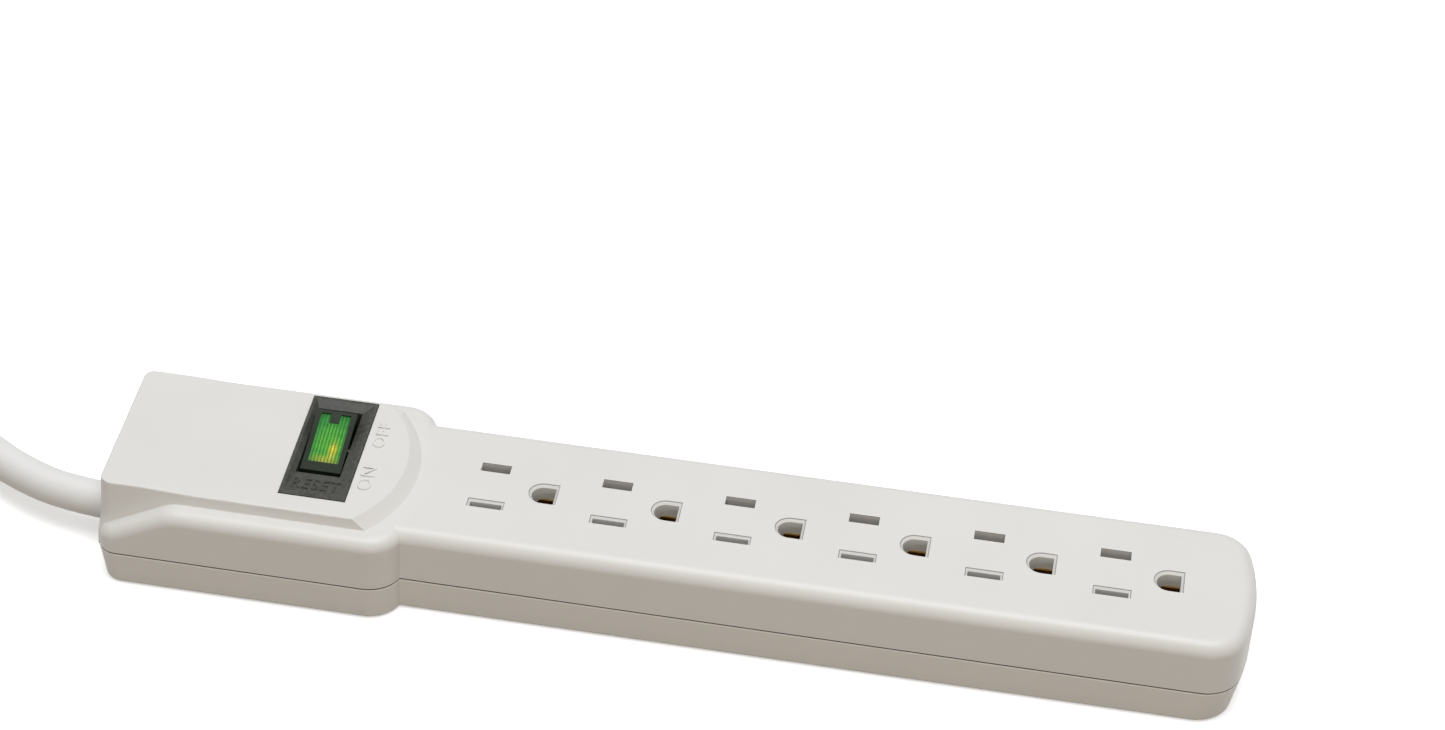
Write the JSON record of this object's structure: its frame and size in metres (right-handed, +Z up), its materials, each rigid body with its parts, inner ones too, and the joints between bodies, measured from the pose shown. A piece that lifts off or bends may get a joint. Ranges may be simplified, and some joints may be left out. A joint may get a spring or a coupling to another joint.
{
  "type": "power strip",
  "caption": "Slim household power strip: a row of grounded outlets, a wide head with a lit rocker switch, and a cord with a wall plug",
  "frame": {"origin": "middle of the underside of the housing", "axes": "+X along the strip from the cord end to the last outlet, +Y to the back (the hot slots' side), +Z up"},
  "size_m": [0.6467, 0.0614, 0.0292],
  "materials": {
    "white_plastic": "satin",
    "steel": "satin",
    "black_plastic": "satin",
    "smoke_plastic": "gloss",
    "green_window": "gloss",
    "lamp_glass": "gloss",
    "brown_ceramic": "matte",
    "cream_plastic": "matte",
    "brass": "satin",
    "plated_brass": "satin",
    "white_rubber": "matte",
    "black_rubber": "matte",
    "green_rubber": "matte"
  },
  "bodies": {
    "housing": {"top_housing": "white_plastic", "bottom_cover": "white_plastic", "housing_screws": "steel", "switch_bezel": "black_plastic", "switch_body": "black_plastic", "arm_terminal": "brass", "bimetal_strip": "steel", "line_terminal": "brass", "load_terminal": "brass", "lamp_terminal": "brass", "hot_bus": "brass", "neutral_bus": "brass", "ground_bus": "brass", "cord_clamp": "cream_plastic", "clamp_screws": "steel", "cord_grommet": "white_rubber", "hot_wire": "black_rubber", "neutral_wire": "white_rubber", "ground_wire": "green_rubber", "switched_wire": "black_rubber", "power_cord": "white_rubber", "cord_hank": "white_rubber", "cord_tail": "white_rubber", "hank_tie": "black_rubber", "plug_body": "white_rubber", "plug_blades": "plated_brass", "plug_ground_pin": "plated_brass"},
    "rocker": {"rocker": "smoke_plastic", "rocker_lens": "green_window", "neon_lamp": "lamp_glass", "lamp_resistor": "brown_ceramic", "lamp_leads": "steel", "plunger": "cream_plastic", "plunger_spring": "steel"},
    "contact_arm": {"contact_arm": "brass"}
  },
  "joints": [
    {"name": "rocker_hinge", "type": "hinge", "parent": "housing", "child": "rocker", "pos_m": [-0.08125, 0.00545, 0.0206], "axis": [1, 0, 0], "range_deg": [-22.6, 0]},
    {"name": "arm_pivot", "type": "hinge", "parent": "housing", "child": "contact_arm", "pos_m": [-0.08125, 0.00545, 0.0117], "axis": [1, 0, 0], "range_deg": [0, 16]}
  ],
  "couplings": [
    {"joint": "arm_pivot", "follows": "rocker_hinge", "ratio": -0.7079}
  ]
}
